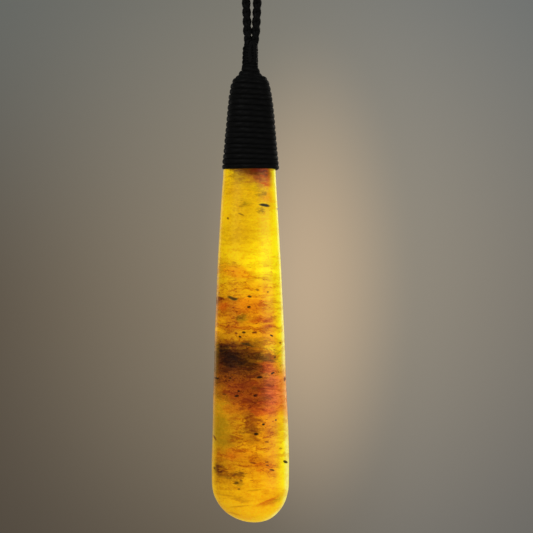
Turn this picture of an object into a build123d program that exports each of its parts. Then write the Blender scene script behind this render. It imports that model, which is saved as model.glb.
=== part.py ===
from build123d import *
import math
import os

# Long drop pendant of translucent stone, bound in waxed thread, on a plaited neck cord.
# Millimetres, +Z up, +X to the right of someone who looks at the stone's broad front face,
# which is towards -Y. The origin is where the neck cord bears on whatever holds it up.

# Stone
stone_length = 65.6      # the part of the stone that shows below the binding
stone_width = 14.15      # across the broad face, where it is widest
stone_depth = 8.6        # from face to face, at the same place
foot_height = 7.5        # height of the rounded foot, below the widest place
foot_lean = 0.8          # how far the foot's lowest point lies to the right of the middle
foot_slices = 6          # sections that shape the rounded foot
foot_flat = 0.06         # share of the foot's quarter turn left as a small flat at its tip

# Binding on the top of the stone
thread = 0.98            # waxed thread of the binding, diameter
turn_gap = 0.03          # clearance between one turn and the next
seat_gap = 0.05          # clearance between the thread and what it is wound on
thread_proud = 0.44      # how far the lowest turn stands out past the stone below it
binding_height = 18.7    # from the binding's lower edge to the top of its last turn
tenon_share = 0.875      # share of that height up to which the stone reaches inside
binding_sides = 6        # facets round the thread
binding_steps = 24       # facets along one turn

# Stem above the binding, where the ends of the neck cord are wrapped together
stem_thread = 0.5        # finer thread of the stem wrap, diameter
stem_turn_gap = 0.02     # clearance between one turn and the next
stem_seat_gap = 0.03     # clearance between that thread and the cord ends
stem_height = 4.2        # from the binding's top to the top of the stem wrap
stem_sides = 6           # facets round its thread
stem_steps = 16          # facets along one of its turns

# Neck cord
cord_diameter = 1.4      # over the plait
loop_height = 312.0      # from what holds the cord up, down to where its two legs part
crown_width = 10.2       # between the route's two corners on top of what holds it up
shoulder_width = 24.4    # between the two corners beside it
shoulder_drop = 6.5      # how far those lie below the top of what holds it up
ends_width = 1.72        # the two ends pressed together, under the stem wrap
ends_depth = 1.36
ends_gap = 0.1           # clearance between the cord ends and the top of the stone
yoke_height = 1.05       # from the top of the stem wrap to where the two legs part
leg_overlap = 0.4        # how far each leg runs down into the pressed ends
legs_gap = 0.04          # clearance between the two legs where they part

# The cord's route from one end, round whatever holds it up, to the other: x and z.
# The stone's weight pulls the legs straight. The arc over the top is that of a peg or
# finger about 20 mm thick.
cord_radius = cord_diameter / 2
legs_apart = cord_diameter + legs_gap
cord_route = [
    (-legs_apart / 2, -loop_height),
    (-shoulder_width / 2, -shoulder_drop),
    (-crown_width / 2, cord_radius),
    (crown_width / 2, cord_radius),
    (shoulder_width / 2, -shoulder_drop),
    (legs_apart / 2, -loop_height),
]

# Outline of the stone from its widest place, at height 0, to the binding, at height 1.
# Width and depth are shares of stone_width and stone_depth.
stone_sections = [
    {"height": 0.00, "width": 1.000, "depth": 1.000},
    {"height": 0.10, "width": 0.990, "depth": 0.990},
    {"height": 0.27, "width": 0.957, "depth": 0.962},
    {"height": 0.44, "width": 0.917, "depth": 0.930},
    {"height": 0.61, "width": 0.862, "depth": 0.885},
    {"height": 0.78, "width": 0.790, "depth": 0.832},
    {"height": 0.91, "width": 0.722, "depth": 0.786},
    {"height": 1.00, "width": 0.674, "depth": 0.755},
]

# Centre line of the binding's thread from the lowest turn, at height 0, to the last one,
# at height 1. Inward is the share of the way in from the lowest turn to the cord ends.
binding_sections = [
    {"height": 0.000, "inward": 0.000},
    {"height": 0.160, "inward": 0.097},
    {"height": 0.475, "inward": 0.260},
    {"height": 0.725, "inward": 0.371},
    {"height": 0.845, "inward": 0.470},
    {"height": 0.913, "inward": 0.690},
    {"height": 0.960, "inward": 0.925},
    {"height": 1.000, "inward": 1.000},
]

# The pressed cord ends under the stem wrap, from the wrap's first turn, at height 0, to its
# last one, at height 1. Width and depth are shares of ends_width and ends_depth.
stem_sections = [
    {"height": 0.00, "width": 1.00, "depth": 1.00},
    {"height": 0.75, "width": 1.00, "depth": 1.00},
    {"height": 1.00, "width": 0.78, "depth": 0.88},
]

thread_radius = thread / 2
stem_radius = stem_thread / 2

# Levels, each worked down from where the cord's legs part
yoke_z = leg_overlap - loop_height
stem_top_z = yoke_z - yoke_height
binding_top_z = stem_top_z - stem_height
binding_foot_z = binding_top_z - binding_height
stone_foot_z = binding_foot_z - stone_length
tenon_top_z = binding_foot_z + tenon_share * binding_height


def oval(width, depth, z, x=0.0):
    return Plane((x, 0, z)) * Ellipse(width / 2, depth / 2)


def triangle(first, second, third):
    return Face(Wire.make_polygon([first, second, third]))


def between(below, above, share):
    """The row that lies a share of the way up from one row of a table to the next."""
    return {column: below[column] + share * (above[column] - below[column]) for column in below}


def at_height(rows, height):
    """The row of a table at a height, in a straight line between the rows that it has."""
    for below, above in zip(rows, rows[1:]):
        if height <= above["height"]:
            break
    return between(below, above, (height - below["height"]) / (above["height"] - below["height"]))


def binding_rows():
    """Centre line of the binding's thread, in millimetres."""
    top_edge = stone_sections[-1]
    foot_half_width = stone_width * top_edge["width"] / 2 + thread_proud - thread_radius
    foot_half_depth = stone_depth * top_edge["depth"] / 2 + thread_proud - thread_radius
    last_half_width = ends_width / 2 + seat_gap + thread_radius
    last_half_depth = ends_depth / 2 + seat_gap + thread_radius
    lowest = binding_foot_z + thread_radius + turn_gap
    highest = binding_top_z - thread_radius
    rows = []
    for row in binding_sections:
        rows.append({
            "height": lowest + row["height"] * (highest - lowest),
            "half_width": foot_half_width + row["inward"] * (last_half_width - foot_half_width),
            "half_depth": foot_half_depth + row["inward"] * (last_half_depth - foot_half_depth),
        })
    return rows


def pressed_end_rows():
    """Outside of the pressed cord ends along the stem wrap, in millimetres."""
    lowest = binding_top_z + stem_radius + stem_turn_gap
    highest = stem_top_z - stem_radius
    rows = []
    for row in stem_sections:
        rows.append({
            "height": lowest + row["height"] * (highest - lowest),
            "half_width": row["width"] * ends_width / 2,
            "half_depth": row["depth"] * ends_depth / 2,
        })
    return rows


def stem_wrap_rows():
    """Centre line of the stem wrap's thread, in millimetres."""
    reach = stem_seat_gap + stem_radius
    return [
        {
            "height": row["height"],
            "half_width": row["half_width"] + reach,
            "half_depth": row["half_depth"] + reach,
        }
        for row in pressed_end_rows()
    ]


def thread_line(rows, pitch, steps):
    """Centres of a wound thread and the way outward at each, from the lowest turn up.

    The turns climb along the slope of what they are wound on, so they lie one pitch apart
    on a shoulder too. Seen from the front each turn falls from left to right.
    """
    climbed = [0.0]
    for below, above in zip(rows, rows[1:]):
        rise = above["height"] - below["height"]
        climbed.append(climbed[-1] + math.hypot(rise, above["half_width"] - below["half_width"]))
    centres = []
    outward = []
    for step in range(int(climbed[-1] / pitch * steps) + 1):
        along = step * pitch / steps
        index = max(i for i, start in enumerate(climbed[:-1]) if start <= along)
        share = (along - climbed[index]) / (climbed[index + 1] - climbed[index])
        row = between(rows[index], rows[index + 1], share)
        angle = math.pi - step * 2 * math.pi / steps
        cosine = math.cos(angle)
        sine = math.sin(angle)
        centres.append(Vector(row["half_width"] * cosine, row["half_depth"] * sine, row["height"]))
        outward.append(Vector(row["half_depth"] * cosine, row["half_width"] * sine, 0))
    return centres, outward


def wound_thread(rows, diameter, gap, sides, steps):
    """A thread wound round an oval former, as one closed solid of small flat facets."""
    centres, outward = thread_line(rows, diameter + gap, steps)
    rings = []
    for step, centre in enumerate(centres):
        ahead = centres[min(step + 1, len(centres) - 1)]
        behind = centres[max(step - 1, 0)]
        tangent = (ahead - behind).normalized()
        side = (outward[step] - tangent * outward[step].dot(tangent)).normalized()
        up = tangent.cross(side)
        ring = []
        for corner in range(sides):
            turn = 2 * math.pi * corner / sides
            ring.append(centre + (side * math.cos(turn) + up * math.sin(turn)) * (diameter / 2))
        rings.append(ring)

    faces = [Face(Wire.make_polygon(rings[0])), Face(Wire.make_polygon(rings[-1]))]
    for ring, after in zip(rings, rings[1:]):
        for corner in range(sides):
            following = (corner + 1) % sides
            faces.append(triangle(ring[corner], ring[following], after[following]))
            faces.append(triangle(ring[corner], after[following], after[corner]))
    return Solid(Shell(faces))


def make_tenon():
    """The stone's top, cut in to take the binding and sloped off under its last turns."""
    rows = binding_rows()
    steepness = [
        math.hypot(1, (above["half_width"] - below["half_width"]) / (above["height"] - below["height"]))
        for below, above in zip(rows, rows[1:])
    ]
    crown = at_height(rows, tenon_top_z)
    kept = [(row, slope) for row, slope in zip(rows, steepness) if row["height"] < tenon_top_z]
    kept.append((crown, kept[-1][1]))
    slices = []
    for row, slope in kept:
        reach = (thread_radius + seat_gap) * slope
        slices.append(oval(
            2 * (row["half_width"] - reach),
            2 * (row["half_depth"] - reach),
            binding_foot_z - thread_radius if row is rows[0] else row["height"],
        ))
    return loft(slices, ruled=True)


def make_stone():
    slices = []
    for index in range(foot_slices):
        turn = math.pi / 2 * (foot_flat + (1 - foot_flat) * index / foot_slices)
        rise = 1 - math.cos(turn)
        slices.append(oval(
            stone_width * math.sin(turn),
            stone_depth * math.sin(turn),
            stone_foot_z + foot_height * rise,
            foot_lean * (1 - rise) ** 3,
        ))
    widest_z = stone_foot_z + foot_height
    for row in stone_sections:
        slices.append(oval(
            stone_width * row["width"],
            stone_depth * row["depth"],
            widest_z + row["height"] * (binding_foot_z - widest_z),
        ))
    return loft(slices) + make_tenon()


def make_loop():
    """The plait's outside as a plain round tube, along the whole loop."""
    points = [(x, 0, z) for x, z in cord_route]
    radii = []
    for before, corner, after in zip(points, points[1:], points[2:]):
        arriving = Vector(corner) - Vector(before)
        leaving = Vector(after) - Vector(corner)
        half_turn = math.radians(arriving.get_angle(leaving)) / 2
        radii.append(0.45 * min(arriving.length, leaving.length) / math.tan(half_turn))
    path = FilletPolyline(*points, radius=radii)
    loop = sweep(Plane(origin=path @ 0, z_dir=path % 0) * Circle(cord_radius), path=path)
    plain_volume = math.pi * cord_radius ** 2 * path.length
    print("bend radii of the neck cord:", [round(radius, 2) for radius in radii])
    print("length of its loop:", round(path.length, 1))
    print("volume over section times length:", round(loop.volume / plain_volume, 5))
    return loop


def make_pressed_ends():
    """The cord's two ends laid together, from where the legs part down to the stone."""
    slices = [oval(ends_width, ends_depth, tenon_top_z + ends_gap)]
    for row in pressed_end_rows():
        slices.append(oval(2 * row["half_width"], 2 * row["half_depth"], row["height"]))
    waist = stem_sections[-1]
    slices.append(oval(ends_width * waist["width"], ends_depth * waist["depth"], stem_top_z))
    slices.append(oval(legs_apart + cord_diameter, cord_diameter, yoke_z))
    return loft(slices, ruled=True)


parts = {
    "stone_drop": make_stone(),
    "binding": wound_thread(binding_rows(), thread, turn_gap, binding_sides, binding_steps),
    "stem_wrap": wound_thread(stem_wrap_rows(), stem_thread, stem_turn_gap, stem_sides, stem_steps),
    "neck_cord": make_loop() + make_pressed_ends(),
}

os.makedirs("parts", exist_ok=True)
for name, part in parts.items():
    export_step(part, os.path.join("parts", name + ".step"))
    size = part.bounding_box().size
    print(name, "volume", round(part.volume, 2), "size", round(size.X, 2), round(size.Y, 2), round(size.Z, 2))
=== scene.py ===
import math

import bpy
import numpy as np
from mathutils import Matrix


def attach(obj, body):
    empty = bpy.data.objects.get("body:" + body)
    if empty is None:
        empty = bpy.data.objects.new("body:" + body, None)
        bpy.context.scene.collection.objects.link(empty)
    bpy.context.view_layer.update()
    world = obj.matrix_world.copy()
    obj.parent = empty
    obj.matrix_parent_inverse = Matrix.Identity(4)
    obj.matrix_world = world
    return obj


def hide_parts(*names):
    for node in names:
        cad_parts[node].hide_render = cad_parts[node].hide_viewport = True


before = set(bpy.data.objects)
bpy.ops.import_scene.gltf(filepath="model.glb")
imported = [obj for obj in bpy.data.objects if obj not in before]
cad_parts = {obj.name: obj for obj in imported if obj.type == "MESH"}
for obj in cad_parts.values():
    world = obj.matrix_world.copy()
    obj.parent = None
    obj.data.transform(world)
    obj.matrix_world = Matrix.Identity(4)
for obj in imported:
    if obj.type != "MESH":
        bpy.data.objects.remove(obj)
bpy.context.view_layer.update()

MM = 0.001
FOOT_Z = -401.15       # lowest point of the stone, mm
BARE_STONE = 65.6      # length of the stone below its binding, mm
BINDING_HEIGHT = 18.7  # up to where the stem begins, mm
BINDING_FOOT_Z = FOOT_Z + BARE_STONE
STEM_FOOT_Z = BINDING_FOOT_Z + BINDING_HEIGHT

# Camera
camera_data = bpy.data.cameras.new("camera")
camera_data.sensor_width = 36
camera_data.lens = 116.7
camera_data.clip_start = 0.01
camera_data.clip_end = 30
camera = bpy.data.objects.new("camera", camera_data)
camera.location = (0.00307, -0.32, -0.3538)
camera.rotation_euler = (math.pi / 2, 0, 0)
bpy.context.scene.collection.objects.link(camera)
bpy.context.scene.camera = camera
bpy.context.scene.view_settings.view_transform = "Standard"


# Meshes
def mesh_object(name, points, quads, caps, around):
    """A smooth mesh in metres from points in mm, with a map of turns round and mm along it."""
    mesh = bpy.data.meshes.new(name)
    faces = quads.tolist() + [cap.tolist() for cap in caps]
    mesh.from_pydata((points * MM).tolist(), [], faces)
    mesh.shade_smooth()
    layer = mesh.uv_layers.new(name="thread")
    mapped = np.zeros((len(mesh.loops), 2))
    mapped[:len(around)] = around
    layer.data.foreach_set("uv", mapped.ravel())
    mesh.validate()
    piece = bpy.data.objects.new(name, mesh)
    bpy.context.scene.collection.objects.link(piece)
    return piece


def distance_along(points):
    """How far each point of a line lies from its first one, measured along it."""
    return np.concatenate([[0], np.cumsum(np.linalg.norm(np.diff(points, axis=0), axis=1))])


def sweep(centres, sides, ups, half_side, half_up, corners, squareness=2.0):
    """Points, quads, end caps and map of an oval section carried along a line of points."""
    count = len(centres)
    turn = np.linspace(0, 2 * math.pi, corners, endpoint=False)
    cosine, sine = np.cos(turn), np.sin(turn)
    power = 2 / squareness
    across = np.sign(cosine) * np.abs(cosine) ** power
    rise = np.sign(sine) * np.abs(sine) ** power
    half_side = np.broadcast_to(half_side, count)
    half_up = np.broadcast_to(half_up, count)
    points = (
        centres[:, None, :]
        + sides[:, None, :] * (half_side[:, None] * across)[:, :, None]
        + ups[:, None, :] * (half_up[:, None] * rise)[:, :, None]
    ).reshape(-1, 3)
    ring = np.arange(corners)
    following = (ring + 1) % corners
    lower = (np.arange(count - 1) * corners)[:, None]
    upper = lower + corners
    quads = np.stack([lower + ring, lower + following, upper + following, upper + ring], axis=-1)
    along = distance_along(centres)
    turned, gone = np.broadcast_arrays(ring / corners, along[:-1, None])
    next_turned = turned + 1 / corners
    next_gone = np.broadcast_to(along[1:, None], gone.shape)
    around = np.stack(
        [turned, gone, next_turned, gone, next_turned, next_gone, turned, next_gone], axis=-1
    )
    caps = [ring[::-1], ring + (count - 1) * corners]
    return points, quads.reshape(-1, 4), caps, around.reshape(-1, 2)


def frames(centres, outward):
    """Outward and sideways directions square to a line of points."""
    tangent = np.gradient(centres, axis=0)
    tangent /= np.linalg.norm(tangent, axis=1)[:, None]
    side = outward - tangent * np.sum(outward * tangent, axis=1)[:, None]
    side /= np.linalg.norm(side, axis=1)[:, None]
    return side, np.cross(tangent, side)


def wander(count, step, reach, seed):
    """A slow, seeded wander about zero, for hand-made unevenness."""
    dice = np.random.default_rng(seed)
    knots = dice.normal(0, reach, int(count * step) + 4)
    return np.interp(np.arange(count) * step, np.arange(len(knots)), knots)


def gather(forms):
    """Joins several swept forms into one set of points, quads, caps and map."""
    start = 0
    moved = []
    for points, quads, caps, around in forms:
        moved.append((points, quads + start, [cap + start for cap in caps], around))
        start += len(points)
    points, quads, caps, around = zip(*moved)
    return np.concatenate(points), np.concatenate(quads), sum(caps, []), np.concatenate(around)


# Neck cord
# The route of the CAD's neck cord, x and z in mm. Each long leg has one point more near the
# peg and one near the stem. Its end lies a little more to the right, as in the photo, and a
# last point lies inside the stem.
CORD_ROUTE = [
    (-0.22, -314.4),
    (-0.40, -311.4),
    (-0.78, -303.2),
    (-11.885, -14.894),
    (-12.2, -6.5),
    (-5.1, 0.7),
    (5.1, 0.7),
    (12.2, -6.5),
    (11.885, -14.894),
    (1.44, -303.2),
    (1.06, -311.4),
    (0.70, -314.4),
]
CORD_END = 16            # length of each end of the cord that has closer points, mm
END_STEP = 0.15          # how far apart its points are there, mm
CORD_STEP = 0.32         # how far apart they are between the two ends, mm
FIRST_CROSSING = 4.25    # from the cord's end to its first crossing at the side, mm
CROSSING_GAP = 1.70      # about how far apart the strands cross at the side, mm
PRESSED = 0.8            # length of cord pressed to half its width at each end, mm
LOOSENING = 3.0          # length over which it widens again, mm
STRAND_REACH = 0.42      # how far a strand runs from the cord's middle, mm
STRAND_WEAVE = 0.10      # how far it passes under and over the others, mm
STRAND_HALF_THICK = 0.34
STRAND_HALF_WIDE = 0.54
STRAND_UNEVENNESS = 0.012
STRAND_SEED = 20


def cord_line():
    """Points in mm along the middle of the neck cord, from the left leg's end to the right one's."""
    data = bpy.data.curves.new("cord_line", "CURVE")
    data.dimensions = "3D"
    data.resolution_u = 64
    spline = data.splines.new("NURBS")
    spline.points.add(len(CORD_ROUTE) - 1)
    for point, (x, z) in zip(spline.points, CORD_ROUTE):
        point.co = (x * MM, 0, z * MM, 1)
    spline.order_u = 3
    spline.use_endpoint_u = True
    line = bpy.data.objects.new("cord_line", data)
    bpy.context.scene.collection.objects.link(line)
    read = bpy.data.meshes.new_from_object(line)
    points = np.array([vertex.co[:] for vertex in read.vertices]) / MM
    bpy.data.objects.remove(line)
    bpy.data.meshes.remove(read)
    return points if points[0][0] <= 0 else points[::-1]


def plaited_cord():
    """The neck cord: a round braid of four strands, two of them winding each way."""
    points = cord_line()
    reach = distance_along(points)
    length = reach[-1]
    near_end = np.arange(0, CORD_END, END_STEP)
    between = np.linspace(CORD_END, length - CORD_END, int((length - 2 * CORD_END) / CORD_STEP))
    stations = np.concatenate([near_end, between, length - near_end[::-1]])
    spine = np.stack([np.interp(stations, reach, points[:, axis]) for axis in range(3)], axis=1)
    heading = np.gradient(spine, stations, axis=0)
    heading /= np.linalg.norm(heading, axis=1)[:, None]
    in_plane = np.stack([heading[:, 2], np.zeros(len(spine)), -heading[:, 0]], axis=1)
    to_back = np.tile([0.0, 1.0, 0.0], (len(spine), 1))

    braided = length - 2 * FIRST_CROSSING
    phase = math.pi * (stations - FIRST_CROSSING) / (braided / round(braided / CROSSING_GAP))
    from_end = np.minimum(stations, length - stations)
    loose = np.clip((from_end - PRESSED) / LOOSENING, 0, 1)
    loose = 0.5 + 0.5 * loose * loose * (3 - 2 * loose)
    strands = []
    for number, (sense, offset) in enumerate([(1, 0), (1, math.pi), (-1, 0), (-1, math.pi)]):
        angle = sense * phase + offset
        radius = (STRAND_REACH + sense * STRAND_WEAVE * np.cos(2 * phase)) * loose
        radius = radius + wander(len(stations), 0.11, STRAND_UNEVENNESS, STRAND_SEED + number)
        radial = in_plane * np.cos(angle)[:, None] + to_back * np.sin(angle)[:, None]
        centres = spine + radial * radius[:, None]
        side, up = frames(centres, radial)
        strands.append(sweep(centres, side, up, STRAND_HALF_THICK, STRAND_HALF_WIDE, 8, 2.2))
    return mesh_object("plaited_cord", *gather(strands))


cord = plaited_cord()
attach(cord, "root")
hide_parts("neck_cord")

# Stone
FOOT = 7.5            # height of the rounded foot, mm
FOOT_FULLNESS = 2.06  # 2 makes the foot's outline an ellipse
FOOT_START = 0.02     # the foot's first ring, as an angle from its lowest point
HIDDEN_RINGS = [65.9, 66.4, 67.0, 71.0, 76.0, 79.5, 81.6, 81.9]
# Outline of the stone seen from the front: height above its foot, half its width, and how
# far its middle lies to the right, all in mm. The last four rows are hidden in the binding.
STONE_ROWS = [
    (FOOT, 7.12, 0.08),
    (10.80, 7.15, 0.09),
    (15.24, 7.06, 0.11),
    (19.70, 6.93, 0.07),
    (24.10, 6.78, 0.00),
    (28.60, 6.61, -0.02),
    (33.00, 6.49, -0.05),
    (37.50, 6.31, -0.08),
    (41.90, 6.10, -0.10),
    (46.35, 5.92, -0.12),
    (50.80, 5.67, -0.13),
    (55.20, 5.42, -0.12),
    (59.70, 5.15, -0.12),
    (64.10, 4.86, -0.09),
    (BARE_STONE, 4.77, -0.08),
    (67.00, 4.35, 0.00),
    (76.00, 3.45, 0.05),
    (81.60, 2.40, 0.05),
    (81.90, 0.30, 0.05),
]
# How far the foot's middle lies to the right at a height, mm.
FOOT_SHIFTS = [
    (0, 0.80), (0.43, 0.74), (0.8, 0.63), (1.9, 0.38), (3.4, 0.25), (5.2, 0.13), (FOOT, 0.08),
]
# Depth of the stone at a height, as a share of its width there.
DEPTH_SHARES = [(0, 0.608), (FOOT, 0.608), (30, 0.632), (BARE_STONE, 0.682), (82, 0.72)]


def smooth_rows(rows, column, at):
    """A column of rows read at any height, rounded off between the rows."""
    table = np.array(rows)
    up, values = table[:, 0], table[:, column]
    slopes = np.gradient(values, up)
    index = np.clip(np.searchsorted(up, at, side="right") - 1, 0, len(up) - 2)
    gap = up[index + 1] - up[index]
    share = (at - up[index]) / gap
    secant = (values[index + 1] - values[index]) / gap

    def held(slope):
        kept = np.sign(secant) * np.minimum(np.abs(slope), 3 * np.abs(secant))
        return np.where(secant * slope <= 0, 0, kept)

    return (
        values[index] * (2 * share ** 3 - 3 * share ** 2 + 1)
        + gap * held(slopes[index]) * (share ** 3 - 2 * share ** 2 + share)
        + values[index + 1] * (3 * share ** 2 - 2 * share ** 3)
        + gap * held(slopes[index + 1]) * (share ** 3 - share ** 2)
    )


def polished_drop():
    """The stone: nearly oval sections that follow the rows, and below them a round foot."""
    foot_turn = np.linspace(FOOT_START, math.pi / 2, 48)
    heights = np.concatenate([
        FOOT * (1 - np.cos(foot_turn)),
        np.linspace(FOOT, BARE_STONE, 90)[1:],
        HIDDEN_RINGS,
    ])
    in_foot = np.clip((FOOT - heights) / FOOT, 0, 1)
    above_foot = np.maximum(heights, FOOT)
    half_widths = np.where(
        in_foot > 0,
        STONE_ROWS[0][1] * (1 - in_foot ** FOOT_FULLNESS) ** (1 / FOOT_FULLNESS),
        smooth_rows(STONE_ROWS, 1, above_foot),
    )
    shifts = np.where(
        in_foot > 0,
        np.interp(heights, *zip(*FOOT_SHIFTS)),
        smooth_rows(STONE_ROWS, 2, above_foot),
    )
    half_depths = half_widths * np.interp(heights, *zip(*DEPTH_SHARES))
    centres = np.stack([shifts, np.zeros(len(heights)), heights + FOOT_Z], axis=1)
    sides = np.tile([1.0, 0.0, 0.0], (len(heights), 1))
    backs = np.tile([0.0, 1.0, 0.0], (len(heights), 1))
    return mesh_object(
        "polished_drop", *sweep(centres, sides, backs, half_widths, half_depths, 96, 2.12)
    )


stone = polished_drop()
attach(stone, "root")
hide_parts("stone_drop")

# Binding
# Outside of the binding seen from the front: height in mm above its lower edge, half its
# width, and how far its middle lies to the right.
BINDING_ROWS = [
    (-0.22, 5.30, 0.09),
    (0.60, 5.27, 0.10),
    (3.50, 4.98, 0.12),
    (6.65, 4.71, 0.13),
    (9.60, 4.43, 0.13),
    (12.60, 4.12, 0.12),
    (14.05, 3.90, 0.08),
    (15.20, 3.68, 0.08),
    (15.95, 3.42, 0.08),
    (16.45, 3.16, 0.08),
    (16.85, 2.78, 0.12),
    (17.12, 2.26, -0.06),
    (17.65, 1.98, -0.04),
    (18.20, 1.72, 0.02),
    (18.90, 1.48, 0.10),
]
# How far each turn lies above the one below it, mm, from the lowest one up.
TURN_RISES = [
    0.80, 0.92, 0.95, 1.00, 0.78, 1.12, 0.97, 1.00, 1.02,
    1.06, 1.08, 1.02, 1.08, 0.84, 1.07, 1.05, 0.98,
]
SLANT = 0.25       # how far the lowest turn rises and falls at its sides, as a share of its rise
SLANT_TURNS = 4    # over how many turns the slant dies out
THINNING = 0.10    # length over which each end of a thread thins out, in turns
END_SHARE = 0.5    # share of its thickness that is left at its ends
UNEVEN_RISE = 0.022
UNEVEN_RADIUS = 0.02


def wound(rows, foot_z, rises, half_thick, half_tall, depth, turn_points, corners, squareness, seed):
    """One thread wound round an oval form, the turns falling left to right on the front.

    The form's depth is given at its foot and at its top, as a share of its width, and half
    the thread's height as a share of each turn's rise.
    """
    up, half, shift = np.array(rows).T
    slope = np.gradient(half, up)
    lean = np.hypot(1, slope)
    line_up = up + half_thick * slope / lean
    line_half = half - half_thick / lean
    along = distance_along(np.stack([line_up, line_half], axis=1))
    whole = along[-1]
    rungs = [0.0, *np.cumsum(rises)]
    while rungs[-1] < whole:
        rungs.append(rungs[-1] + rises[-1])
    turns = np.arange(0, np.interp(whole, rungs, range(len(rungs))), 1 / turn_points)
    reach = np.interp(turns, range(len(rungs)), rungs)
    window = turn_points // 2
    padded = np.pad(reach, window, mode="reflect", reflect_type="odd")
    reach = np.convolve(padded, np.ones(2 * window + 1) / (2 * window + 1), "valid")
    reach = np.clip(reach, 0, whole)

    count = len(turns)
    height = np.interp(reach, along, line_up)
    height = height + wander(count, 5 / turn_points, UNEVEN_RISE, seed)
    radius = np.interp(reach, along, line_half)
    radius = radius + wander(count, 6 / turn_points, UNEVEN_RADIUS, seed + 1)
    middle = np.interp(reach, along, shift)
    tilt = np.arctan(np.interp(reach, along, slope))
    share = np.interp(reach, [0, whole], depth)
    angle = math.pi / 2 - turns * 2 * math.pi
    cosine, sine = np.cos(angle), np.sin(angle)
    height = height + SLANT * rises[0] * cosine * np.clip(1 - turns / SLANT_TURNS, 0, 1)
    centres = np.stack([middle + radius * cosine, radius * share * sine, height + foot_z], axis=1)
    flat = np.stack([cosine * share, sine, np.zeros(count)], axis=1)
    flat /= np.linalg.norm(flat, axis=1)[:, None]
    outward = flat * np.cos(tilt)[:, None]
    outward[:, 2] = -np.sin(tilt)
    side, above = frames(centres, outward)

    half_tall = half_tall * np.interp(turns, np.arange(len(rungs) - 1) + 0.5, np.diff(rungs))
    from_end = np.minimum(np.arange(count), np.arange(count)[::-1])
    taper = np.clip(np.sqrt(from_end / (turn_points * THINNING)), END_SHARE, 1)
    centres = centres - side * (half_thick * (1 - taper))[:, None]
    return sweep(centres, side, above, half_thick * taper, half_tall * taper, corners, squareness)


def waxed_binding():
    """The waxed thread wound round the top of the stone."""
    thread = wound(
        BINDING_ROWS, BINDING_FOOT_Z, TURN_RISES, half_thick=0.43, half_tall=0.56,
        depth=(0.758, 0.83), turn_points=96, corners=14, squareness=2.3, seed=3,
    )
    return mesh_object("waxed_binding", *thread)


wrapped = waxed_binding()
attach(wrapped, "root")
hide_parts("binding")

# Stem
# Outside of the fine winding seen from the front, as for the binding. It starts a little
# below the binding's upper end.
STEM_ROWS = [
    (-0.60, 1.46, 0.10),
    (0.40, 1.40, 0.14),
    (2.00, 1.37, 0.17),
    (3.20, 1.33, 0.20),
    (3.80, 1.22, 0.24),
    (4.30, 1.10, 0.27),
]
STEM_RISE = 0.52        # how far each fine turn lies above the one below it, mm
BIGHT_HALF_WIDTH = 0.48
BIGHT_TOP = 4.55        # height of the folded thread's bight, mm
BIGHT_LENGTH = 3.9      # of each of its two legs, mm
# The oval that the folded thread lies on: the x of its middle, half its width, half its depth.
FOLD_OVAL = (0.2, 1.45, 1.20)
PLY_LEAD = 1.7          # length of one full twist of the two plies, mm
PLY_REACH = 0.15        # how far each ply runs from the middle of the twist, mm
# The twist's x at a height, mm.
TWIST_EDGE = [(-0.3, -1.20), (0.6, -1.14), (3.4, -1.02), (4.6, -0.62)]
# The cut end of the thread: x, y and height, then half its thickness and half its height, mm.
CUT_END = [
    (0.90, -0.50, -0.90, 0.20, 0.20),
    (1.25, -0.42, -0.97, 0.24, 0.26),
    (1.52, -0.35, -1.04, 0.26, 0.28),
    (1.72, -0.30, -1.10, 0.24, 0.26),
    (1.80, -0.30, -1.12, 0.12, 0.12),
]


def folded_thread():
    """A smooth folded end of thread up the front of the stem, its bight at the top."""
    run = np.linspace(-0.5, 0.5, 60)
    leg = np.where(run < 0, -BIGHT_HALF_WIDTH, BIGHT_HALF_WIDTH)
    across = BIGHT_HALF_WIDTH + leg * np.clip(np.abs(run) / 0.16, 0, 1) ** 0.5
    up = BIGHT_TOP - 2 * BIGHT_LENGTH * np.abs(run)
    middle, half_width, half_depth = FOLD_OVAL
    front = -half_depth * np.sqrt(np.clip(1 - ((across - middle) / half_width) ** 2, 0.05, 1))
    squeeze = np.interp(up, [3.2, 4.6], [1.0, 0.80])  # the stem narrows towards its top
    centres = np.stack([across, front * squeeze, up + STEM_FOOT_Z], axis=1)
    outward = np.stack([(across - 0.14) * 0.5, front, np.zeros(len(run))], axis=1)
    return sweep(centres, *frames(centres, outward), 0.16, 0.36, 10, 2.3)


def twisted_plies():
    """Two fine plies twisted together, up the left edge of the stem."""
    up = np.linspace(TWIST_EDGE[0][0], TWIST_EDGE[-1][0], 90)
    edge = np.interp(up, *zip(*TWIST_EDGE))
    plies = []
    for start in (0, math.pi):
        twist = up * 2 * math.pi / PLY_LEAD + start
        across = edge + PLY_REACH * np.cos(twist)
        back = -0.22 + PLY_REACH * np.sin(twist)
        centres = np.stack([across, back, up + STEM_FOOT_Z], axis=1)
        outward = np.tile([-1.0, -0.2, 0.0], (len(up), 1))
        plies.append(sweep(centres, *frames(centres, outward), 0.19, 0.19, 8))
    return plies


def cut_end():
    """The cut end of the thread, which stands out a little at the right, low on the stem."""
    across, back, up, half_thick, half_tall = np.array(CUT_END).T
    centres = np.stack([across, back, up + STEM_FOOT_Z], axis=1)
    outward = np.tile([0.0, -1.0, 0.0], (len(centres), 1))
    return sweep(centres, *frames(centres, outward), half_thick, half_tall, 10)


def waxed_stem():
    """The finer thread wound round the two ends of the neck cord, with its loose ends."""
    thread = wound(
        STEM_ROWS, STEM_FOOT_Z, [STEM_RISE], half_thick=0.22, half_tall=0.56,
        depth=(0.86, 0.88), turn_points=64, corners=10, squareness=2.2, seed=11,
    )
    return mesh_object("waxed_stem", *gather([thread, folded_thread(), *twisted_plies(), cut_end()]))


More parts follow.
